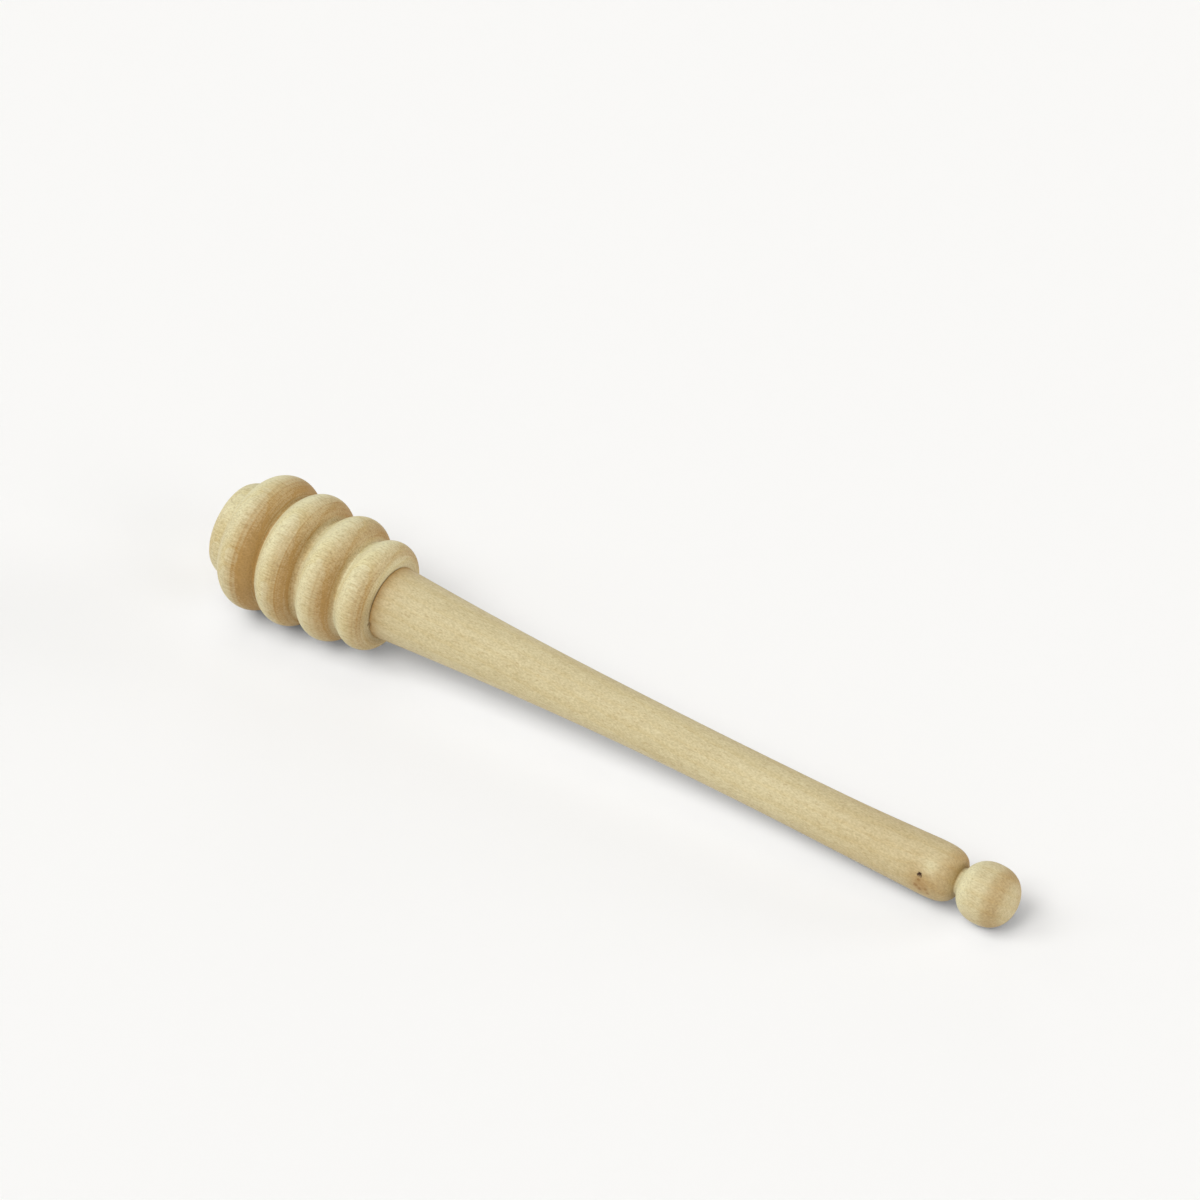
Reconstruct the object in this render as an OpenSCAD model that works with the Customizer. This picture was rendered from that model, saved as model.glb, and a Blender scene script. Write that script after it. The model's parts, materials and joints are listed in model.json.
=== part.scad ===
// Turned wooden honey dipper: a ringed head on a long slender handle with a ball at its tip.
//
// The two pieces are turned one by one and glued. The head has a blind bore in its handle end,
// and the handle carries a round tenon that fills it, so their shoulders close face to face.
//
// Along the axis, s runs from the joint plane (s = 0): the head lies at negative s, the handle
// at positive s. The dipper is drawn as it lies on a table, on one ring and its ball, with the
// axis in the XZ plane, the ball toward +X and the lowest points on z = 0.

/* [Head rings] */
// Largest diameter of the ring nearest the nose
ring_1_d = 26.2; // [22:0.1:32]
// Largest diameter of the second ring, which the head rests on
ring_2_d = 25.6; // [22:0.1:32]
// Largest diameter of the third ring
ring_3_d = 24.2; // [20:0.1:30]
// Largest diameter of the ring nearest the handle
ring_4_d = 21.1; // [18:0.1:27]
// Radius of the first ring's rounded section
ring_1_round = 4.7; // [3.9:0.05:5.4]
// Radius of the second ring's rounded section
ring_2_round = 4.15; // [3.7:0.05:5]
// Radius of the third ring's rounded section
ring_3_round = 4.1; // [3.7:0.05:5]
// Radius of the fourth ring's rounded section
ring_4_round = 3.8; // [3.4:0.05:4.6]
// Distance along the axis from the first ring's crown to the second's
pitch_1_2 = 8.1; // [7:0.05:9.5]
// Distance along the axis from the second ring's crown to the third's
pitch_2_3 = 8.7; // [7.5:0.05:10]
// Distance along the axis from the third ring's crown to the fourth's
pitch_3_4 = 7.6; // [6.5:0.05:9]
// Distance along the axis from the fourth ring's crown to the head's handle end
ring_4_to_joint = 3.1; // [2.5:0.05:3.6]

/* [Honey grooves] */
// Radius of the rounded bottom of the groove between rings one and two
groove_1_2_round = 0.4; // [0.25:0.05:1.2]
// Radius of the rounded bottom of the groove between rings two and three
groove_2_3_round = 0.8; // [0.4:0.05:1.5]
// Radius of the rounded bottom of the groove between rings three and four
groove_3_4_round = 0.6; // [0.25:0.05:1.2]
// Radius of the shallow cove between the nose and the first ring
cove_round = 1.0; // [0.5:0.05:2]

/* [Nose] */
// Largest diameter of the nose boss at the head's free end
nose_d = 18.6; // [15:0.1:22]
// Radius of the nose boss's rounded side
nose_round = 3.6; // [3:0.05:5]
// Distance from the flat nose face to the nose boss's largest diameter
nose_crown_at = 2.4; // [1.5:0.05:2.8]
// Distance from the flat nose face to the first ring's crown
nose_len = 7.8; // [7:0.05:9.5]
// Rounding of the edge of the nose face
nose_edge = 0.5; // [0.2:0.05:0.9]
// Rounding of the outer edge of the head's handle end
collar_edge = 1.2; // [0.3:0.05:1.6]

/* [Joint] */
// Diameter of the round tenon on the handle
tenon_d = 10; // [7:0.1:11]
// Length of the tenon past the joint plane
tenon_len = 18; // [10:0.5:22]
// Chamfer at the tenon's free end
tenon_chamfer = 0.8; // [0.3:0.1:2]
// Glue clearance between tenon and bore, on each side
glue_gap = 0.05; // [0.02:0.01:0.2]
// Depth left for glue between the tenon's end and the full-width bottom of the bore
glue_pocket = 2; // [0.5:0.5:4]
// Full angle of the drill point at the bottom of the bore, in degrees
drill_point = 118; // [90:1:140]

/* [Handle] */
// Diameter of the handle where it meets the head
root_d = 13.9; // [12:0.1:16]
// Rounding of the handle's edge at the joint
root_edge = 0.25; // [0.1:0.05:0.6]
// Smallest diameter of the handle
waist_d = 9.3; // [7:0.1:11]
// Distance from the joint plane to the handle's smallest diameter
waist_at = 77; // [50:1:90]
// How late the handle swells away from its waist: 2 is an even curve
waist_power = 2.15; // [1.6:0.05:3]
// Diameter of the handle before its rounded end
tail_d = 10.4; // [9:0.1:13]
// Length of the handle from the joint plane to its rounded end
handle_len = 122.6; // [100:0.5:150]
// Length of the handle's rounded end
tail_round_len = 6.5; // [4:0.1:8]
// Fullness of the handle's rounded end: 2 is an ellipse, more is squarer
tail_fullness = 3.6; // [2:0.1:5]

/* [Ball] */
// Diameter of the ball at the tip
ball_d = 11.3; // [9:0.1:14]
// Length of the ball along the axis
ball_len = 10.8; // [9:0.1:14]
// Fullness of the ball: 2 is a true ellipsoid, more is squarer
ball_fullness = 2.3; // [2:0.05:3]
// Diameter of the neck between handle and ball
neck_d = 5; // [3.5:0.1:6.5]
// Width of the neck at its bottom
neck_w = 0.65; // [0.3:0.05:3]

/* [Hidden] */
$fn = 96;

// Points on each quarter of a curved outline.
steps = 14;

// Stations along the axis, from the joint plane.
ring_4_s = -ring_4_to_joint;
ring_3_s = ring_4_s - pitch_3_4;
ring_2_s = ring_3_s - pitch_2_3;
ring_1_s = ring_2_s - pitch_1_2;
nose_s = ring_1_s - nose_len;

// Every rounded stretch of the head is a circle in section: [s, distance from axis, radius].
function bead(s, d, r) = [s, d / 2 - r, r];
nose_bead = bead(nose_s + nose_crown_at, nose_d, nose_round);
ring_1 = bead(ring_1_s, ring_1_d, ring_1_round);
ring_2 = bead(ring_2_s, ring_2_d, ring_2_round);
ring_3 = bead(ring_3_s, ring_3_d, ring_3_round);
ring_4 = bead(ring_4_s, ring_4_d, ring_4_round);

// Groove bottom between beads a and b: the circle of radius g that touches both from outside.
// A groove between beads that stand too far apart gets the smallest circle that bridges them.
function bridge(a, b, g) = max(g, (norm([b[0] - a[0], b[1] - a[1]]) - a[2] - b[2]) / 2 + 0.1);
function valley(a, b, wish) =
    let (g = bridge(a, b, wish), ds = b[0] - a[0], dr = b[1] - a[1], d = norm([ds, dr]),
         along = (pow(a[2] + g, 2) - pow(b[2] + g, 2) + d * d) / (2 * d),
         up = sqrt(max(0, pow(a[2] + g, 2) - along * along)))
    [a[0] + (along * ds - up * dr) / d, a[1] + (along * dr + up * ds) / d, g];

// Edge rounding of radius e where bead b runs out into a flat face at s, on side +1 or -1.
function edge(b, s, e, side) =
    let (reach = (s - b[0]) * side - e)
    [s - side * e, b[1] + sqrt(max(0, pow(b[2] - e, 2) - reach * reach)), e];

// Direction from circle a to circle b in degrees: 0 points away from the axis, 90 along +s.
function toward(a, b) = atan2(b[0] - a[0], b[1] - a[1]);

// Arc of circle c between two directions, as [radius, s] points. The next arc in the chain
// starts where this one ends, so the last point is left to it unless last is 1.
function arc(c, from, to, last = 0) =
    [for (i = [0:steps - 1 + last]) let (a = from + (to - from) * i / steps)
        [c[1] + c[2] * cos(a), c[0] + c[2] * sin(a)]];

// A groove's arc turns backwards, from bead a's side through the side nearest the axis to b's.
function back(angle) = angle > 0 ? angle - 360 : angle;
function dip(v, a, b) = arc(v, back(toward(v, a)), back(toward(v, b)));

nose_rim = edge(nose_bead, nose_s, nose_edge, -1);
collar_rim = edge(ring_4, 0, collar_edge, 1);
cove = valley(nose_bead, ring_1, cove_round);
groove_1_2 = valley(ring_1, ring_2, groove_1_2_round);
groove_2_3 = valley(ring_2, ring_3, groove_2_3_round);
groove_3_4 = valley(ring_3, ring_4, groove_3_4_round);

// Joint sizes, shared by the bore and the tenon.
tenon_r = tenon_d / 2;
bore_r = tenon_r + glue_gap;
bore_depth = tenon_len + glue_pocket;
drill_tip = bore_r / tan(drill_point / 2);

// The handle's outline: even swellings away from the waist, then a rounded end.
root_r = root_d / 2;
waist_r = waist_d / 2;
tail_r = tail_d / 2;
neck_r = neck_d / 2;
tail_s = handle_len - tail_round_len;
function swell(from_waist, length, rise) = waist_r + rise * pow(from_waist / length, waist_power);
function handle_r(s) = s < waist_at
    ? swell(waist_at - s, waist_at, root_r - waist_r)
    : swell(s - waist_at, tail_s - waist_at, tail_r - waist_r);

// Share of its length at which a rounded end of radius r and fullness n has narrowed to the neck.
function neck_share(r, n) = pow(1 - pow(neck_r / r, n), 1 / n);
tail_neck_s = tail_s + tail_round_len * neck_share(tail_r, tail_fullness);

ball_r = ball_d / 2;
ball_half = ball_len / 2;
ball_s = tail_neck_s + neck_w + ball_half * neck_share(ball_r, ball_fullness);

// How far the ball reaches from its centre toward a direction t degrees away from square.
ball_dual = ball_fullness / (ball_fullness - 1);
function ball_reach(t) =
    pow(pow(ball_half * abs(sin(t)), ball_dual) + pow(ball_r * cos(t), ball_dual), 1 / ball_dual);

// The dipper settles on its ball and on the ring that reaches down furthest, which is the second
// one at these sizes. Its tilt on one ring is found by repetition.
function settle(ring, t, n) = n == 0 ? t :
    settle(ring, asin((ring[1] * cos(t) + ring[2] - ball_reach(t)) / (ball_s - ring[0])), n - 1);
rings = [ring_1, ring_2, ring_3, ring_4];
tilt = max([for (ring = rings) settle(ring, 3, 6)]);
lift = max([for (ring = rings) ring[0] * sin(tilt) + ring[1] * cos(tilt) + ring[2]]);

// Middle of the laid dipper along X.
x_ball = ball_s * cos(tilt) + ball_reach(90 - tilt);
x_nose = nose_rim[0] * cos(tilt) - nose_rim[1] * sin(tilt) - nose_rim[2];
x_mid = (x_ball + x_nose) / 2;

// Turns what is drawn around the Z axis into the laid pose.
module laid() {
    translate([-x_mid, 0, lift]) rotate([0, 90 + tilt, 0]) rotate_extrude() children();
}

// Ringed head: nose boss, four beads with rounded grooves between them, blind bore.
module dipper_head() {
    color("Tan") laid() polygon(concat(
        [[0, nose_s]],
        arc(nose_rim, -90, toward(nose_bead, nose_rim)),
        arc(nose_bead, toward(nose_bead, nose_rim), toward(nose_bead, cove)),
        dip(cove, nose_bead, ring_1),
        arc(ring_1, toward(ring_1, cove), toward(ring_1, groove_1_2)),
        dip(groove_1_2, ring_1, ring_2),
        arc(ring_2, toward(ring_2, groove_1_2), toward(ring_2, groove_2_3)),
        dip(groove_2_3, ring_2, ring_3),
        arc(ring_3, toward(ring_3, groove_2_3), toward(ring_3, groove_3_4)),
        dip(groove_3_4, ring_3, ring_4),
        arc(ring_4, toward(ring_4, groove_3_4), toward(ring_4, collar_rim)),
        arc(collar_rim, toward(ring_4, collar_rim), 90, 1),
        [[bore_r, 0], [bore_r, -bore_depth], [0, -bore_depth - drill_tip]]
    ));
}

// Handle: chamfered tenon, flared root, slender waist, rounded end, neck and ball.
module handle() {
    root_rim = [root_edge, root_r - root_edge, root_edge];
    color("BurlyWood") laid() polygon(concat(
        [[0, -tenon_len], [tenon_r - tenon_chamfer, -tenon_len],
         [tenon_r, tenon_chamfer - tenon_len], [tenon_r, 0]],
        arc(root_rim, -90, 0, 1),
        [for (i = [1:2 * steps]) let (s = root_edge + (tail_s - root_edge) * i / (2 * steps))
            [handle_r(s), s]],
        [for (i = [1:steps]) let (u = neck_share(tail_r, tail_fullness) * sin(90 * i / steps))
            [tail_r * pow(1 - pow(u, tail_fullness), 1 / tail_fullness),
             tail_s + tail_round_len * u]],
        [for (i = [0:2 * steps]) let (first = -asin(neck_share(ball_r, ball_fullness)),
                u = sin(first + (90 - first) * i / (2 * steps)))
            [ball_r * pow(max(0, 1 - pow(abs(u), ball_fullness)), 1 / ball_fullness),
             ball_s + ball_half * u]]
    ));
}

dipper_head();
handle();
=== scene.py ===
import json
import math

import bpy
import numpy as np
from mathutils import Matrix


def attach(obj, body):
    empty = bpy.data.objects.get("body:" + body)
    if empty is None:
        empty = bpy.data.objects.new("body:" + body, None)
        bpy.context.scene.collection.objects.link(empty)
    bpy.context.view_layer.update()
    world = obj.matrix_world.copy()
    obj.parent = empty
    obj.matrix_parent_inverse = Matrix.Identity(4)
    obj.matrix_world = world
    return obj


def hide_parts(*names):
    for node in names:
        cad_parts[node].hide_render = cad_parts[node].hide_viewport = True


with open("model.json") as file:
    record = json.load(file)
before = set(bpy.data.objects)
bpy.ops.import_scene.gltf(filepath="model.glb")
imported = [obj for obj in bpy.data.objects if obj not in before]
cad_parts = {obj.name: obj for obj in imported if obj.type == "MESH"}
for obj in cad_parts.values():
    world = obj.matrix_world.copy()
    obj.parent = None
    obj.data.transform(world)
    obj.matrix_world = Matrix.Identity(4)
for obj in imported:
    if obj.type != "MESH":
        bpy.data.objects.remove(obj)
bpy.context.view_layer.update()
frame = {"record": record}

# Ringed head: one blank of pale, close-grained hardwood, turned between centres and sanded but
# not oiled. The tool leaves a nose boss, four round beads and the honey grooves between them.
# A blind hole bored into the handle end takes the handle's tenon.

MM = 0.001
HEAD_LEN = 35.3 * MM
FINE_STEP = 0.2 * MM
COARSE_STEP = 1.5 * MM
HEAD_SIDES = 320

# Each bead is a circle in section: where its crown is along the axis, how far its crown is from
# the axis, and its radius. Distances along the axis are measured from the joint plane.
NOSE_BEAD = (-32.9 * MM, 9.3 * MM, 3.6 * MM)
RING_1 = (-27.5 * MM, 13.1 * MM, 4.7 * MM)
RING_2 = (-19.4 * MM, 12.8 * MM, 4.15 * MM)
RING_3 = (-10.7 * MM, 12.1 * MM, 4.1 * MM)
RING_4 = (-3.1 * MM, 10.55 * MM, 3.8 * MM)
# Radii at the bottom of the cove behind the nose and of the three grooves, then those of the
# edges at the nose's face and at the joint. The bore's tip is the cone that the drill leaves.
COVE_ROUND = 1.0 * MM
GROOVE_ROUNDS = (0.4 * MM, 0.8 * MM, 0.6 * MM)
NOSE_EDGE = 0.5 * MM
COLLAR_EDGE = 2.6 * MM
BORE_R = 5.05 * MM
BORE_DEPTH = 20 * MM
BORE_TIP = 3.03 * MM

# The head's nose face is one of the part's mounts, so it gives the axis that both pieces share.
nose_face = next(m for m in frame["record"]["mounts"] if m["name"] == "nose_face")
axis = -np.array(nose_face["axis"])
side = np.array([0.0, 1.0, 0.0])
upward = np.cross(axis, side)
joint = np.array(nose_face["pos_m"]) + axis * HEAD_LEN
tilt = math.asin(-axis[2])


def bead(crown_along, crown_r, radius):
    """Centre of a bead's circle and its radius, as (along, out, radius)."""
    return np.array([crown_along, crown_r - radius, radius])


def touching(a, b, radius):
    """Circle of the given radius that lies in the groove between beads a and b and touches both.

    Its centre is where the two beads' circles, grown by that radius, cross away from the axis.
    """
    gap = b[:2] - a[:2]
    apart = np.hypot(*gap)
    along = ((a[2] + radius) ** 2 - (b[2] + radius) ** 2 + apart**2) / (2 * apart)
    above = math.sqrt((a[2] + radius) ** 2 - along**2)
    unit = gap / apart
    centre = a[:2] + along * unit + above * np.array([-unit[1], unit[0]])
    return np.array([*centre, radius])


def edge_round(circle, face_along, radius, way):
    """Circle that rounds the edge where a bead runs out into a flat face, inside both.

    Its centre is one radius in from the face, and as far from the bead's centre as the bead's
    radius is greater than its own. The way is 1 where the face looks to the handle, else -1.
    """
    centre_along = face_along - way * radius
    off_along = centre_along - circle[0]
    out = circle[1] + math.sqrt((circle[2] - radius) ** 2 - off_along**2)
    return np.array([centre_along, out, radius])


def heading(a, b):
    """Direction from circle a to circle b: 0 is away from the axis, a quarter turn is along it."""
    return math.atan2(b[0] - a[0], b[1] - a[1])


def arc(circle, start, end, step):
    """Points of a circle between two headings, about step apart, without the last."""
    count = max(2, math.ceil(abs(end - start) * circle[2] / step))
    turn = np.linspace(start, end, count, endpoint=False)
    return np.stack([circle[0] + circle[2] * np.sin(turn), circle[1] + circle[2] * np.cos(turn)], 1)


def line(start, end, step):
    """Points of a straight stretch of an outline, about step apart, without the last."""
    count = max(1, math.ceil(math.dist(start, end) / step))
    return np.linspace(start, end, count, endpoint=False)


def backwards(angle):
    """The same heading, brought below zero, so that a groove's arc turns through the axis side."""
    return angle - 2 * math.pi if angle > 0 else angle


def ease(low, high, value):
    """Smooth step: 0 up to low, 1 from high on, with a soft S between them."""
    share = np.clip((value - low) / (high - low), 0, 1)
    return share * share * (3 - 2 * share)


def lump(value, middle, width):
    """Bell-shaped hump: 1 at the middle, falling off over the width."""
    return np.exp(-(((value - middle) / width) ** 2))


def skin_faces(rows, sides):
    """Quads between neighbouring rows of points, and a fan of triangles to a pole at each end.

    The points are numbered row by row, with the first row's pole and then the last's at the end.
    """
    row, column = np.meshgrid(np.arange(rows - 1), np.arange(sides), indexing="ij")
    beside = (column + 1) % sides
    here = row * sides
    over = here + sides
    quads = np.stack([here + column, over + column, over + beside, here + beside], 2)
    place = np.arange(sides)
    after = (place + 1) % sides
    first_pole = np.full(sides, rows * sides)
    last_row = (rows - 1) * sides
    first_fan = np.stack([first_pole, place, after], 1)
    last_fan = np.stack([first_pole + 1, last_row + after, last_row + place], 1)
    return [*quads.reshape(-1, 4).tolist(), *first_fan.tolist(), *last_fan.tolist()]


def turned(name, outline, sides, layers, wear=None, bow=None):
    """Mesh of an outline carried once round the axis.

    A point at distance r from the axis goes to r * cos(turn) upward and r * sin(turn) sideways.
    The outline starts and ends on the axis, where single points close it. Wear takes a little off
    r at places given by along and turn, and the bow shifts each cross-section off the axis. Each
    layer is a function of along, r and turn, kept on the points for the material.
    """
    around = np.arange(sides) * 2 * math.pi / sides
    along, turn = np.meshgrid(outline[1:-1, 0], around, indexing="ij")
    out = outline[1:-1, 1:] + 0 * turn
    if wear is not None:
        out = out - wear(along, turn)
    ray = np.cos(turn)[..., None] * upward + np.sin(turn)[..., None] * side
    skin = joint + along[..., None] * axis + out[..., None] * ray
    if bow is not None:
        skin = skin + bow(along)
    ends = joint + outline[[0, -1], 0][:, None] * axis
    points = np.concatenate([skin.reshape(-1, 3), ends])
    mesh = bpy.data.meshes.new(name)
    mesh.from_pydata(points, [], skin_faces(len(along), sides))
    for label, layer_of in layers.items():
        values = layer_of(along, out, turn)
        layer = mesh.attributes.new(label, "FLOAT", "POINT")
        layer.data.foreach_set("value", np.append(values, [values[0, 0], values[-1, 0]]))
    mesh.shade_smooth()
    piece = bpy.data.objects.new(name, mesh)
    bpy.context.collection.objects.link(piece)
    return piece


nose = bead(*NOSE_BEAD)
rings = [bead(*ring) for ring in (RING_1, RING_2, RING_3, RING_4)]
collar = rings[-1]
nose_rim = edge_round(nose, -HEAD_LEN, NOSE_EDGE, -1)
collar_rim = edge_round(collar, 0, COLLAR_EDGE, 1)
beads = [nose, *rings]
dips = [touching(a, b, r) for a, b, r in zip(beads, beads[1:], (COVE_ROUND, *GROOVE_ROUNDS))]

stretches = [
    line((-HEAD_LEN, 0), (-HEAD_LEN, nose_rim[1]), COARSE_STEP),
    arc(nose_rim, -math.pi / 2, heading(nose, nose_rim), FINE_STEP),
]
start = heading(nose, nose_rim)
for this_bead, next_bead, dip in zip(beads, beads[1:], dips):
    stretches.append(arc(this_bead, start, heading(this_bead, dip), FINE_STEP))
    dip_start = backwards(heading(dip, this_bead))
    dip_end = backwards(heading(dip, next_bead))
    stretches.append(arc(dip, dip_start, dip_end, FINE_STEP))
    start = heading(next_bead, dip)
stretches += [
    arc(collar, start, heading(collar, collar_rim), FINE_STEP),
    arc(collar_rim, heading(collar, collar_rim), math.pi / 2, FINE_STEP),
    line((0, collar_rim[1]), (0, BORE_R), COARSE_STEP),
    line((0, BORE_R), (-BORE_DEPTH, BORE_R), COARSE_STEP),
    line((-BORE_DEPTH, BORE_R), (-BORE_DEPTH - BORE_TIP, 0), COARSE_STEP),
    [(-BORE_DEPTH - BORE_TIP, 0)],
]

# How brown the skin is, on the nose and then on each ring. A ring is pale on the flank that faces
# the nose and goes browner by a smooth step across its crown: partly the end grain that faces the
# handle, partly painted shade on the flank that is turned away from the light. Angles here are in
# degrees round a bead's circle, from its crown towards the handle.
NOSE_FLANK_BROWN = (0.17, 0.1, 0, 0, 0)
HANDLE_FLANK_BROWN_AND_SHADE = (0.17, 0.97, 0.88, 0.81, 0.7)
STEP_FROM = -28
STEP_TO = (35, 35, 48, 48, 47)
# Down in a groove the flank that faces the nose is browner, in painted shade, and the other one
# is paler, in painted light. The last ring is paler beside the joint, in painted light where light
# reaches it.
GROOVE_PAINTED_SHADE = (0, 0, 0.65, 0.75, 1.1)
GROOVE_SHADE_FROM = (58, 58, 57, 53, 47)
GROOVE_SHADE_TO = 80
GROOVE_PAINTED_LIGHT = 0.4
GROOVE_LIGHT_SPAN = (56, 80)
COLLAR_PAINTED_LIGHT = 0.55
COLLAR_LIGHT_SPAN = (48, 66)
# Painted light and shade round a piece: painted shade on the camera's side and the far side, and
# painted light above. Sides of a piece, by turns in degrees from its top, with the camera's side at
# -90: the middle and width of the hump on the camera's side, and where each of the others begins
# and is full.
CAMERA_SIDE = (-75, 35)
UPPER_SIDE = (-45, -5)
FAR_SIDE = (5, 60)
UNDERSIDE = (130, 180)
OPEN_TO_LIGHT = (-130, -85)
CAMERA_SIDE_PAINTED_SHADE = 0.17
UPPER_SIDE_PAINTED_LIGHT = -0.1
FAR_SIDE_PAINTED_SHADE = 0.13
# The pith of the tree runs beside the head's axis: at this turn from the top and this far off.
PITH_TURN = math.radians(70)
PITH_OFF = 2.0 * MM


def short_way(turn, start=0):
    """Angle from start to turn, the short way round: from minus half a turn to half a turn."""
    return (turn - start + math.pi) % (2 * math.pi) - math.pi


def painted_side_light_and_shade(turn, camera_side=0, upper_side=0):
    """Painted shade in a hump on the camera's side and on the far side, painted light above."""
    facing = np.degrees(short_way(turn))
    past_top = ease(*FAR_SIDE, facing)
    above = ease(*UPPER_SIDE, facing) * (1 - past_top)
    far = past_top * (1 - ease(*UNDERSIDE, facing))
    return camera_side * lump(facing, *CAMERA_SIDE) + upper_side * above + FAR_SIDE_PAINTED_SHADE * far


def brown_on_beads(along, out, turn):
    """Share of the brown tone, from the angle round the nearest bead's circle and the turn."""
    circles = np.array(beads)
    apart = np.stack([np.abs(np.hypot(along - c[0], out - c[1]) - c[2]) for c in circles])
    nearest = np.argmin(apart, 0)
    angle = np.degrees(np.arctan2(along - circles[nearest, 0], out - circles[nearest, 1]))
    least = np.take(NOSE_FLANK_BROWN, nearest)
    most = np.take(HANDLE_FLANK_BROWN_AND_SHADE, nearest)
    # The browner flank that faces the handle: partly end grain, partly painted shade.
    handle_flank_brown_and_shade = least + (most - least) * ease(STEP_FROM, np.take(STEP_TO, nearest), angle)
    in_groove = ease(np.take(GROOVE_SHADE_FROM, nearest), GROOVE_SHADE_TO, -angle)
    nose_flank_shade = np.take(GROOVE_PAINTED_SHADE, nearest) * in_groove
    facing = np.degrees(short_way(turn))
    open_to_light = ease(*OPEN_TO_LIGHT, facing) * (1 - ease(*UNDERSIDE, facing))
    # Painted light on the last ring beside the joint and on a groove's handle-facing flank.
    collar_light = COLLAR_PAINTED_LIGHT * open_to_light * ease(*COLLAR_LIGHT_SPAN, angle)
    groove_light = GROOVE_PAINTED_LIGHT * ease(*GROOVE_LIGHT_SPAN, angle)
    painted_light = np.where(nearest == len(beads) - 1, collar_light, groove_light)
    flanks = np.maximum(handle_flank_brown_and_shade * (1 - painted_light), nose_flank_shade)
    # Painted light and shade round the head, by side.
    return flanks + painted_side_light_and_shade(turn, CAMERA_SIDE_PAINTED_SHADE, UPPER_SIDE_PAINTED_LIGHT)


def growth_on_head(along, out, turn):
    """Distance from the pith, in mm, which runs beside the axis."""
    across, up = out * np.sin(turn), out * np.cos(turn)
    off_across = across - PITH_OFF * math.sin(PITH_TURN)
    off_up = up - PITH_OFF * math.cos(PITH_TURN)
    return np.hypot(off_across, off_up) / MM


head = turned(
    "ringed_head",
    np.concatenate(stretches),
    HEAD_SIDES,
    {"brown": brown_on_beads, "growth": growth_on_head},
)

# The wood itself: pale cream where the tool ran along the fibres, honey brown where it crossed
# them, with soft clouds, growth lines, long fibres, short flecks and faint rings from the lathe.
# The points' share of brown between the two also carries painted shade and painted light.
PALE = (0.772, 0.722, 0.485, 1)
BROWN = (0.435, 0.262, 0.09, 1)
HONEY = (1.0, 0.94, 0.68, 1)
FLECK = (0.36, 0.22, 0.07, 1)
PORE = (0.45, 0.43, 0.38, 1)
GLUE_LINE = (0.2, 0.12, 0.05, 1)
# How far each pattern's lumps are drawn out, in mm along, across and up the piece. The lathe's
# lines are laid out along the piece and out from its axis instead.
CLOUDS = (22, 5, 5)
MOTTLE = (1.7, 1.0, 1.0)
FIBRES = (6, 0.25, 0.25)
SPECKLE = (0.5, 0.28, 0.28)
DASHES = (0.9, 0.3, 0.3)
WAVER = (9, 2.2, 2.2)
LATHE_LINES = (0.45, 0.45, 1)
# The level of the dashes at which a fleck begins and is full, how many growth rings the waver
# shifts, and the shares of a ring at which its late wood begins and is darkest.
FLECK_SPAN = (0.60, 0.72)
WAVER_RINGS = 0.55
LATE_WOOD = (0.45, 0.93)
# The usual level of clouds, mottle, fibres, speckle and growth lines, in that order.
USUAL_LEVELS = (0.5, 0.5, 0.5, 0.5, 0.25)
# How far the speckle and the fibres draw in the edge of a mark, in mm.
EDGE_BY_SPECKLE = 0.8
EDGE_BY_FIBRES = 0.4
GLUE_STRENGTH = 0.75
ROUGHNESS = 0.5
SPECULAR = 0.4
GRAIN_RELIEF = 0.02 * MM
# The upward part of the skin's direction at which the underside is full and at which it ends.
FACING_DOWN = (-0.3, 0.15)


def add(tree, kind, sockets, **settings):
    """Add a shader node. Sockets maps an input's name or number to a value or another's output."""
    made = tree.nodes.new("ShaderNode" + kind)
    for setting, value in settings.items():
        setattr(made, setting, value)
    for socket, value in sockets.items():
        if isinstance(value, bpy.types.NodeSocket):
            tree.links.new(value, made.inputs[socket])
        else:
            made.inputs[socket].default_value = value
    return made


def grain(tree, place, lengths, detail=2):
    """Noise with its lumps drawn out to the given lengths in mm along each direction of place."""
    shrink = tuple(1 / length for length in lengths)
    scaled = add(tree, "VectorMath", {0: place, 1: shrink}, operation="MULTIPLY").outputs[0]
    return add(tree, "TexNoise", {"Vector": scaled, "Scale": 1, "Detail": detail}).outputs[0]


def spread(tree, value, low, high, at_low=0.0, at_high=1.0):
    """Smooth step of the value: at_low up to low, at_high from high on."""
    sockets = {"Value": value, "From Min": low, "From Max": high, "To Min": at_low, "To Max": at_high}
    return add(tree, "MapRange", sockets, interpolation_type="SMOOTHSTEP").outputs[0]


def product(tree, first, second):
    """The first value times the second."""
    return add(tree, "Math", {0: first, 1: second}, operation="MULTIPLY").outputs[0]


def total(tree, first, *others):
    """The first value and the others, each of which is an output and the weight it is given."""
    for value, weight in others:
        sockets = {0: value, 1: weight, 2: first}
        first = add(tree, "Math", sockets, operation="MULTIPLY_ADD").outputs[0]
    return first


def tint(tree, share, under, over, way="MIX"):
    """Colour that goes from under to over, or to their product, as the share goes from 0 to 1."""
    sockets = {0: share, 6: under, 7: over}
    return add(tree, "Mix", sockets, data_type="RGBA", blend_type=way, clamp_factor=True).outputs[2]


def usual(weights):
    """What the patterns come to at their usual levels, each by its weight."""
    return sum(level * weight for level, weight in zip(USUAL_LEVELS, weights))


def place_on_piece(tree):
    """Place on the skin, in mm: along the axis from the joint, across it and up from it."""
    frame_of_piece = {
        "Vector": add(tree, "TexCoord", {}).outputs["Object"],
        "Location": joint,
        "Rotation": (0, tilt, 0),
        "Scale": (MM, MM, MM),
    }
    return add(tree, "Mapping", frame_of_piece, vector_type="TEXTURE").outputs[0]


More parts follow.
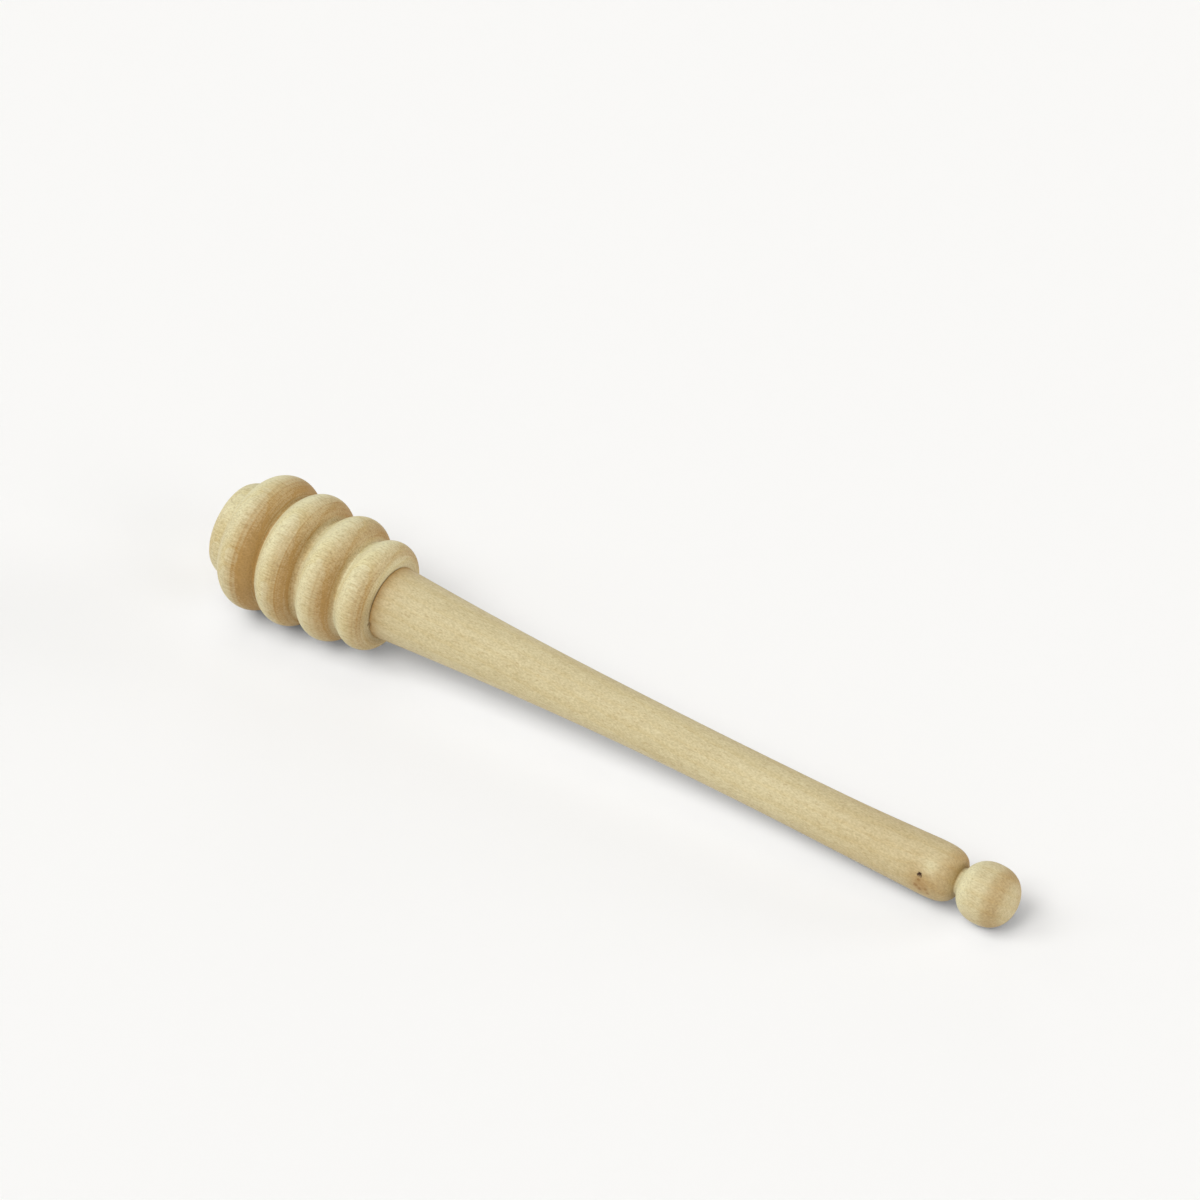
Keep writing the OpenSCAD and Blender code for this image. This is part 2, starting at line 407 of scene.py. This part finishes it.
def growth_lines(tree, place, gap):
    """Growth rings gap mm apart: each darkens through its late wood and then ends sharply."""
    from_pith = add(tree, "Attribute", {}, attribute_name="growth").outputs["Fac"]
    waver = grain(tree, place, WAVER)
    rings_crossed = total(tree, 0.0, (from_pith, 1 / gap), (waver, WAVER_RINGS))
    ring_share = add(tree, "Math", {0: rings_crossed}, operation="FRACT").outputs[0]
    darkens = spread(tree, ring_share, *LATE_WOOD)
    ends = spread(tree, ring_share, LATE_WOOD[1], 1.0, 1.0, 0.0)
    return product(tree, darkens, ends)


def lathe_lines(tree, place, along, brown):
    """Fine rings left by the tool where the wood is brown: noise of along and out from the axis."""
    across = add(tree, "VectorMath", {0: place, 1: (0, 1, 1)}, operation="MULTIPLY").outputs[0]
    out = add(tree, "VectorMath", {0: across}, operation="LENGTH").outputs["Value"]
    profile = add(tree, "CombineXYZ", {"X": along, "Y": out}).outputs[0]
    return product(tree, grain(tree, profile, LATHE_LINES), brown)


def neutral_below(tree, colour):
    """The colour, but grey to light that bounces off the underside, so the shadow is not tinted."""
    grey = add(tree, "RGBToBW", {0: colour}).outputs[0]
    direction = add(tree, "NewGeometry", {}).outputs["Normal"]
    height = add(tree, "SeparateXYZ", {0: direction}).outputs["Z"]
    underneath = spread(tree, height, *FACING_DOWN, 1.0, 0.0)
    bounced = add(tree, "LightPath", {}).outputs["Is Diffuse Ray"]
    return tint(tree, product(tree, bounced, underneath), colour, grey)


def spot(along_mm, out_mm, angle):
    """Place of a mark on the skin, in mm: along the axis, out from it and turned by an angle."""
    return along_mm, out_mm * math.sin(math.radians(angle)), out_mm * math.cos(math.radians(angle))


def marked(tree, colour, place, edge, marks):
    """The colour with marks on it, whose edges are made ragged by the weighted patterns in edge.

    A mark is its place, how far in mm its full tone and its edge reach, its strength and colour.
    """
    for middle, inner, outer, strength, mark_colour in marks:
        away = add(tree, "VectorMath", {0: place, 1: middle}, operation="DISTANCE").outputs["Value"]
        share = spread(tree, total(tree, away, *edge), inner, outer, strength, 0.0)
        colour = tint(tree, share, colour, mark_colour)
    return colour


def turned_wood(
    name,
    honey_share,
    pore_share,
    growth_gap,
    growth_depth,
    fibre_depth,
    speckle_depth,
    fleck_depth,
    lathe_depth,
    marks,
    glue_to=None,
):
    """Material of a turned, sanded blank, with its pattern set out in mm from the joint.

    The points' own share of brown, which also carries painted shade and painted light, and the
    given shares of honey and pores are varied by the patterns about their usual levels, and the
    depths say how strongly. Glue shows from the joint to glue_to, in mm.
    """
    material = bpy.data.materials.new(name)
    material.use_nodes = True
    tree = material.node_tree
    place = place_on_piece(tree)
    along = add(tree, "SeparateXYZ", {0: place}).outputs["X"]
    brown = add(tree, "Attribute", {}, attribute_name="brown").outputs["Fac"]
    clouds = grain(tree, place, CLOUDS, detail=3)
    mottle = grain(tree, place, MOTTLE)
    fibres = grain(tree, place, FIBRES)
    speckle = grain(tree, place, SPECKLE)
    flecks = spread(tree, grain(tree, place, DASHES, detail=1), *FLECK_SPAN)
    growth = growth_lines(tree, place, growth_gap)
    tool_lines = lathe_lines(tree, place, along, brown)

    patterns = (clouds, mottle, fibres, speckle, growth)
    brown_weights = (0.08, 0.12, 0.8 * fibre_depth, 0.15, 0.4 * growth_depth)
    honey_weights = (0.15, 0.22, 0.8 * fibre_depth, 0.1, 1.2 * growth_depth)
    pore_weights = (0.3, 0.17, fibre_depth, speckle_depth)
    # The points' brown, varied by the tool's lines about their usual level of a half.
    lathed = ((brown, 1 - lathe_depth / 2), (tool_lines, lathe_depth))
    tone = total(tree, -usual(brown_weights), *lathed, *zip(patterns, brown_weights))
    honey = total(tree, honey_share - usual(honey_weights), *zip(patterns, honey_weights))
    pores = total(tree, pore_share - usual(pore_weights), *zip(patterns, pore_weights))
    colour = tint(tree, tone, PALE, BROWN)
    colour = tint(tree, honey, colour, HONEY, "MULTIPLY")
    colour = tint(tree, pores, colour, PORE, "MULTIPLY")
    colour = tint(tree, product(tree, flecks, fleck_depth), colour, FLECK)
    ragged_edge = ((speckle, EDGE_BY_SPECKLE), (fibres, EDGE_BY_FIBRES))
    colour = marked(tree, colour, place, ragged_edge, marks)
    if glue_to is not None:
        glue = spread(tree, along, glue_to / 2, glue_to, GLUE_STRENGTH, 0.0)
        colour = tint(tree, glue, colour, GLUE_LINE)

    roughness = total(tree, ROUGHNESS, (fibres, 0.16), (mottle, 0.12))
    relief = total(tree, 0.0, (fibres, 0.5), (speckle, 0.45), (flecks, -0.5), (growth, 0.25))
    bump = add(tree, "Bump", {"Height": relief, "Strength": 1.0, "Distance": GRAIN_RELIEF})
    shader = tree.nodes["Principled BSDF"]
    shader.inputs["Specular IOR Level"].default_value = SPECULAR
    tree.links.new(neutral_below(tree, colour), shader.inputs["Base Color"])
    tree.links.new(roughness, shader.inputs["Roughness"])
    tree.links.new(bump.outputs[0], shader.inputs["Normal"])
    return material


# The chip at the joint shows on the head as a dark notch in the collar's inner edge.
CHIP_COLOUR = (0.2, 0.11, 0.045, 1)
CHIP_MARK = (spot(0, 7.0, -95), 0.75, 1.1, 0.75, CHIP_COLOUR)
head_wood = turned_wood(
    "head_wood",
    honey_share=0.38,
    pore_share=0.1,
    growth_gap=1.9,
    growth_depth=0.2,
    fibre_depth=0.5,
    speckle_depth=1.05,
    fleck_depth=0.2,
    lathe_depth=0.9,
    marks=[CHIP_MARK],
)
head.data.materials.append(head_wood)
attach(head, "root")
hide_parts("dipper_head")

# Handle: one blank of the same wood, turned to a slender waist between a flared root and a
# rounded end, with a ball left on a thin neck at the tip. Its tenon is glued into the head.

TENON_R = 5 * MM
TENON_LEN = 18 * MM
TENON_CHAMFER = 0.8 * MM
ROOT_R = 6.95 * MM
ROOT_EDGE = 0.25 * MM
WAIST_R = 4.65 * MM
WAIST_AT = 77 * MM
WAIST_POWER = 2.15
TAIL_R = 5.2 * MM
HANDLE_LEN = 122.6 * MM
TAIL_ROUND_LEN = 6.5 * MM
TAIL_FULLNESS = 3.6
BALL_R = 5.65 * MM
BALL_HALF = 5.4 * MM
BALL_FULLNESS = 2.3
NECK_R = 2.5 * MM
NECK_W = 0.65 * MM
SHAFT_STEP = 0.6 * MM
TIP_STEP = 0.14 * MM
ROOT_STEP = ROOT_EDGE / 5
HANDLE_SIDES = 256
# Rough length of each round stretch of the outline: the rounded end's as a share of how far it
# reaches along the axis, and the ball's in radii.
TAIL_ARC = 1.3
BALL_ARC = 2.2

tail_along = HANDLE_LEN - TAIL_ROUND_LEN


def swelling_shaft(along):
    """Outline of the shaft: from the waist its radius grows each way as a power of the distance."""
    rise = np.where(along < WAIST_AT, ROOT_R, TAIL_R) - WAIST_R
    length = np.where(along < WAIST_AT, WAIST_AT, tail_along - WAIST_AT)
    out = WAIST_R + rise * (np.abs(along - WAIST_AT) / length) ** WAIST_POWER
    return np.stack([along, out], 1)


def rounded_end(shares, start, length, radius, power):
    """Outline of a rounded end at shares of its length: an ellipse at power 2, squarer above."""
    out = radius * np.maximum(0, 1 - np.abs(shares) ** power) ** (1 / power)
    return np.stack([start + length * shares, out], 1)


def neck_share(radius, power):
    """Share of its length at which a rounded end has narrowed to the neck."""
    return (1 - (NECK_R / radius) ** power) ** (1 / power)


tail_share = neck_share(TAIL_R, TAIL_FULLNESS)
ball_share = neck_share(BALL_R, BALL_FULLNESS)
ball_along = tail_along + TAIL_ROUND_LEN * tail_share + NECK_W + BALL_HALF * ball_share
tail_points = round(TAIL_ARC * TAIL_ROUND_LEN / TIP_STEP)
tail_turn = np.linspace(0, math.pi / 2, tail_points)
tail_shares = tail_share * np.sin(tail_turn)
ball_points = round(BALL_ARC * BALL_R / TIP_STEP)
ball_turn = np.linspace(-math.asin(ball_share), math.pi / 2, ball_points)
ball_shares = np.sin(ball_turn)
tenon_side_from = TENON_CHAMFER - TENON_LEN
root_rim = np.array([ROOT_EDGE, ROOT_R - ROOT_EDGE, ROOT_EDGE])
handle_outline = np.concatenate(
    [
        line((-TENON_LEN, 0), (-TENON_LEN, TENON_R - TENON_CHAMFER), COARSE_STEP),
        line((-TENON_LEN, TENON_R - TENON_CHAMFER), (tenon_side_from, TENON_R), COARSE_STEP),
        line((tenon_side_from, TENON_R), (0, TENON_R), COARSE_STEP),
        line((0, TENON_R), (0, ROOT_R - ROOT_EDGE), COARSE_STEP),
        arc(root_rim, -math.pi / 2, 0, ROOT_STEP),
        swelling_shaft(np.arange(ROOT_EDGE, tail_along, SHAFT_STEP)),
        rounded_end(tail_shares, tail_along, TAIL_ROUND_LEN, TAIL_R, TAIL_FULLNESS),
        rounded_end(ball_shares, ball_along, BALL_HALF, BALL_R, BALL_FULLNESS),
    ]
)
handle_outline[-1, 1] = 0

# Tone of the handle, as shares of brown: painted shade beside the last ring, darker round the knot
# and towards the neck, with a painted highlight, a pale sheen, beside the knot. Beside the ring,
# two painted shades fall off, each over its own length. A span is where a tone begins and where
# it is full, and the stain and the painted sheen have a middle and a width, along the axis and in
# degrees round it.
HANDLE_BROWN = 0.335
SHADE_BESIDE_RING = ((0.6, 1.5 * MM), (0.12, 5 * MM))
TAIL_BROWN = 0.13
TAIL_SPAN = (85 * MM, 110 * MM)
NECK_BROWN = 0.2
NECK_SPAN = (118 * MM, 122 * MM)
LIT_NECK_BROWN = 0.1
LIT_NECK_SPAN = (-80, -30)
STAIN = 0.36
STAIN_ALONG = (117.5 * MM, 3 * MM)
STAIN_ROUND = (-85, 36)
# A painted highlight: a pale sheen beside the knot.
PAINTED_SHEEN = 0.3
PAINTED_SHEEN_ALONG = (118.1 * MM, 1.5 * MM)
PAINTED_SHEEN_ROUND = (-46, 15)
# The ball's tone changes in steps from its neck to its tip: painted light on the side towards the
# neck, painted shade with the end grain's brown past its middle, and painted light again towards
# the tip. Each step is a tone and the angles between which it comes in, in degrees from the ball's
# middle towards its tip.
BALL_BROWN = -0.1
BALL_LIGHT_AND_SHADE_STEPS = ((0.45, -50, 0), (0.38, 4, 28), (-0.28, 34, 60))
# The knot by the rounded end, and the chip in the edge at the joint. The floor is the share of
# its radius over which each is at its full depth.
KNOT_ALONG = 116.9 * MM
KNOT_TURN = math.radians(-68.4)
KNOT_PIT_R = 0.42 * MM
KNOT_PIT_DEPTH = 0.3 * MM
KNOT_FLOOR = 0.3
CHIP_ALONG = 0.3 * MM
CHIP_LEN = 0.45 * MM
CHIP_TURN = math.radians(-96)
CHIP_SPREAD = math.radians(9)
CHIP_DEPTH = 0.35 * MM
CHIP_FLOOR = 0.2
# Growth lines, in mm: how far off the pith of the log was and on which side, how much the log
# bowed, and how much the lines swirl at the knot. A bow has a middle and a length along the axis.
LOG_PITH_OFF = 20
LOG_PITH_TURN = math.radians(45)
LOG_BOW = 2.6
LOG_BOW_ALONG = (87 * MM, 42 * MM)
SWIRL = 1.4
SWIRL_LEN = 3.5 * MM
SWIRL_WIDTH = 2 * MM
# The handle itself is a little bent: up before its waist and down after it.
RISE = 0.14 * MM
RISE_ALONG = (55 * MM, 19 * MM)
SAG = 0.17 * MM
SAG_ALONG = (101 * MM, 13 * MM)


def brown_on_handle(along, out, turn):
    """Share of the brown tone, as sums of soft steps and humps along and round the handle."""
    facing = np.degrees(short_way(turn))
    past_joint = np.maximum(along, 0)
    # Painted shade beside the last ring.
    shade_beside_ring = sum(tone * np.exp(-past_joint / length) for tone, length in SHADE_BESIDE_RING)
    tail = TAIL_BROWN * ease(*TAIL_SPAN, along)
    lit_side = ease(*LIT_NECK_SPAN, facing) * (1 - ease(*UNDERSIDE, facing))
    neck = (NECK_BROWN + LIT_NECK_BROWN * lit_side) * ease(*NECK_SPAN, along)
    stain = STAIN * lump(along, *STAIN_ALONG) * lump(facing, *STAIN_ROUND)
    # Painted highlight beside the knot.
    painted_sheen = PAINTED_SHEEN * lump(along, *PAINTED_SHEEN_ALONG) * lump(facing, *PAINTED_SHEEN_ROUND)
    on_shaft = HANDLE_BROWN + shade_beside_ring + tail + neck + stain - painted_sheen
    # Painted light and shade on the ball, over the end grain's brown.
    angle = np.degrees(np.arctan2(along - ball_along, out))
    on_ball = BALL_BROWN + sum(tone * ease(low, high, angle) for tone, low, high in BALL_LIGHT_AND_SHADE_STEPS)
    return np.where(along > HANDLE_LEN, on_ball, on_shaft) + painted_side_light_and_shade(turn)


def growth_on_handle(along, out, turn):
    """Distance from the pith, in mm, in a blank cut from a log that bows along the handle.

    The pith is far enough off for the growth rings to be nearly flat, so only the distance
    straight away from it counts.
    """
    bow = LOG_BOW * lump(along, *LOG_BOW_ALONG)
    beside_knot = out * short_way(turn, KNOT_TURN)
    swirl = SWIRL * lump(along, KNOT_ALONG, SWIRL_LEN) * lump(beside_knot, 0, SWIRL_WIDTH)
    return LOG_PITH_OFF - out * np.cos(turn - LOG_PITH_TURN) / MM - bow + swirl


def handle_bow(along):
    """Shift of each cross-section: a slight rise before the waist and a slight sag after it."""
    lift = RISE * lump(along, *RISE_ALONG) - SAG * lump(along, *SAG_ALONG)
    return lift[..., None] * upward


def handle_wear(along, turn):
    """Depth taken off the skin: a small round pit at the knot and a chip at the joint's edge."""
    knot_arc = TAIL_R * short_way(turn, KNOT_TURN)
    from_knot = np.hypot(along - KNOT_ALONG, knot_arc) / KNOT_PIT_R
    chip_round = short_way(turn, CHIP_TURN) / CHIP_SPREAD
    from_chip = np.hypot((along - CHIP_ALONG) / CHIP_LEN, chip_round)
    pit = KNOT_PIT_DEPTH * (1 - ease(KNOT_FLOOR, 1, from_knot))
    return pit + CHIP_DEPTH * (1 - ease(CHIP_FLOOR, 1, from_chip))


handle = turned(
    "handle_and_ball",
    handle_outline,
    HANDLE_SIDES,
    {"brown": brown_on_handle, "growth": growth_on_handle},
    handle_wear,
    handle_bow,
)

# Marks at the knot: a faint halo, five short brown strokes, and the dark knot in its pit.
HALO = (0.38, 0.21, 0.07, 1)
STROKE = (0.28, 0.14, 0.04, 1)
KNOT = (0.04, 0.012, 0.004, 1)
skin_mm = TAIL_R / MM
knot_place = spot(KNOT_ALONG / MM, skin_mm, math.degrees(KNOT_TURN))
KNOT_MARKS = [
    (spot(117.2, skin_mm, -90), 1.2, 2.7, 0.35, HALO),
    (spot(117.0, skin_mm, -80), 0.7, 1.1, 0.8, STROKE),
    (spot(116.5, skin_mm, -95), 0.75, 1.15, 0.75, STROKE),
    (spot(117.3, skin_mm, -101), 0.75, 1.15, 0.75, STROKE),
    (spot(118.5, skin_mm, -95), 0.7, 1.1, 0.6, STROKE),
    (spot(118.9, skin_mm, -105.5), 0.7, 1.1, 0.7, STROKE),
    (knot_place, 0.9, 1.2, 1.0, KNOT),
]
handle_wood = turned_wood(
    "handle_wood",
    honey_share=0.32,
    pore_share=0.15,
    growth_gap=2.3,
    growth_depth=0.1,
    fibre_depth=0.06,
    speckle_depth=0.85,
    fleck_depth=0.3,
    lathe_depth=0.15,
    marks=KNOT_MARKS,
    glue_to=0.2,
)
handle.data.materials.append(handle_wood)
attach(handle, "root")
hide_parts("handle")

# Table: a plain, near-white sheet with no gloss, which the dipper lies on. It is laid flat and is
# so wide that its edges stay out of the picture.

FLOOR_SIZE = 6.0
FLOOR_COLOUR = (0.947, 0.939, 0.922)

reach = FLOOR_SIZE / 2
corners = [(-reach, -reach, 0), (reach, -reach, 0), (reach, reach, 0), (-reach, reach, 0)]
floor_mesh = bpy.data.meshes.new("table")
floor_mesh.from_pydata(corners, [], [(0, 1, 2, 3)])
floor = bpy.data.objects.new("table", floor_mesh)
bpy.context.collection.objects.link(floor)
floor_paper = bpy.data.materials.new("table_paper")
floor_paper.use_nodes = True
paper_shader = floor_paper.node_tree.nodes["Principled BSDF"]
paper_shader.inputs["Base Color"].default_value = (*FLOOR_COLOUR, 1)
paper_shader.inputs["Roughness"].default_value = 1
paper_shader.inputs["Specular IOR Level"].default_value = 0
floor_mesh.materials.append(floor_paper)

# Camera: a long lens, far off and looking down, so that the dipper crosses the picture from the
# upper left to the lower right.

CAMERA_AZIMUTH = math.radians(34.75)
CAMERA_ELEVATION = math.radians(38.82)
CAMERA_DISTANCE = 1090.9 * MM
CAMERA_LENS_MM = 180
CAMERA_SENSOR_MM = 36
# From the middle of the joint to the middle of the picture, to the right and downwards.
AIM_RIGHT = 37.97 * MM
AIM_DOWN = -0.345 * MM

cos_a, sin_a = math.cos(CAMERA_AZIMUTH), math.sin(CAMERA_AZIMUTH)
cos_e, sin_e = math.cos(CAMERA_ELEVATION), math.sin(CAMERA_ELEVATION)
view_right = np.array([cos_a, sin_a, 0])
view_forward = np.array([-sin_a * cos_e, cos_a * cos_e, -sin_e])
view_down = np.array([sin_a * sin_e, -cos_a * sin_e, -cos_e])
aim = joint + AIM_RIGHT * view_right + AIM_DOWN * view_down

camera_data = bpy.data.cameras.new("camera")
camera_data.lens = CAMERA_LENS_MM
camera_data.sensor_width = CAMERA_SENSOR_MM
camera = bpy.data.objects.new("camera", camera_data)
bpy.context.collection.objects.link(camera)
camera.location = aim - CAMERA_DISTANCE * view_forward
camera.rotation_euler = (math.pi / 2 - CAMERA_ELEVATION, 0, CAMERA_AZIMUTH)
bpy.context.scene.camera = camera

# Light: plain soft studio light from broad, neutral lamps. The main ones stand on the camera's
# side and to its left, with weaker ones above and beyond the dipper. Low ones light its edges from
# the front, from beyond and from the right.

# Each lamp: height above the table and turn from straight beyond the dipper (right is positive),
# both in degrees, and its strength, where 1 alone shows a surface that faces it in its own colour.
LAMPS = {
    "front": (50, 180, 0.104),
    "front_left": (50, -135, 0.245),
    "left": (50, -90, 0.187),
    "lower_left": (28, -90, 0.065),
    "beyond_left": (28, -45, 0.04),
    "above": (72, -120, 0.118),
    "beyond": (72, 0, 0.044),
    "low_beyond": (8, 0, 0.074),
    "low_front": (12, 180, 0.03),
    "low_right": (8, 90, 0.33),
    "low_front_right": (28, 135, 0.1),
}
# How much of the sky each lamp takes up, and the even light that comes from all of it.
LAMP_SPREAD = math.radians(26)
FILL = 0.282


def lamp(name, height, around, strength):
    """Distant lamp that shines on the dipper from a height and a turn about the camera's view."""
    lamp_data = bpy.data.lights.new(name, "SUN")
    lamp_data.energy = math.pi * strength
    lamp_data.angle = LAMP_SPREAD
    shining = bpy.data.objects.new(name, lamp_data)
    bpy.context.collection.objects.link(shining)
    shining.rotation_euler = (
        math.pi / 2 - math.radians(height),
        0,
        CAMERA_AZIMUTH + math.pi - math.radians(around),
    )


for lamp_name, setting in LAMPS.items():
    lamp(lamp_name, *setting)

world = bpy.data.worlds.new("studio")
world.use_nodes = True
bpy.context.scene.world = world
backdrop = world.node_tree.nodes["Background"]
backdrop.inputs["Color"].default_value = (1, 1, 1, 1)
backdrop.inputs["Strength"].default_value = FILL

bpy.context.scene.view_settings.view_transform = "Standard"
